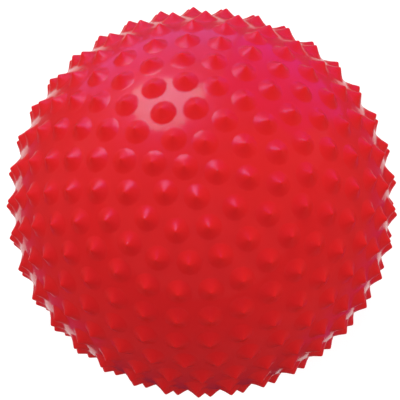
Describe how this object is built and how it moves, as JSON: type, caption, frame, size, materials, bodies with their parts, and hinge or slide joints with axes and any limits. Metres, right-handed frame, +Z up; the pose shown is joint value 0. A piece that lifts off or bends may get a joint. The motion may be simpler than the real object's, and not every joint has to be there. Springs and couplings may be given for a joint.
{
  "type": "sensory ball",
  "caption": "Soft inflatable ball covered in rings of blunt cone-shaped knobs, for touch play and massage, with a stopper plug in its valve.",
  "frame": {"origin": "on the surface that the ball stands on, below the middle of the smooth spot with the valve", "axes": "+Z up from the valve through the centre of the ball to the knob at the opposite pole, +X towards the meridian where every ring of knobs starts"},
  "size_m": [0.2787, 0.279, 0.2783],
  "materials": {
    "red_vinyl": "satin",
    "white_plug": "satin"
  },
  "bodies": {
    "ball": {"ball_skin": "red_vinyl", "valve_seat": "red_vinyl"},
    "plug": {"valve_plug": "white_plug"}
  },
  "joints": [
    {"name": "plug_pull", "type": "slide", "parent": "ball", "child": "plug", "axis": [0, 0, -1], "range_m": [0, 0.02]}
  ]
}
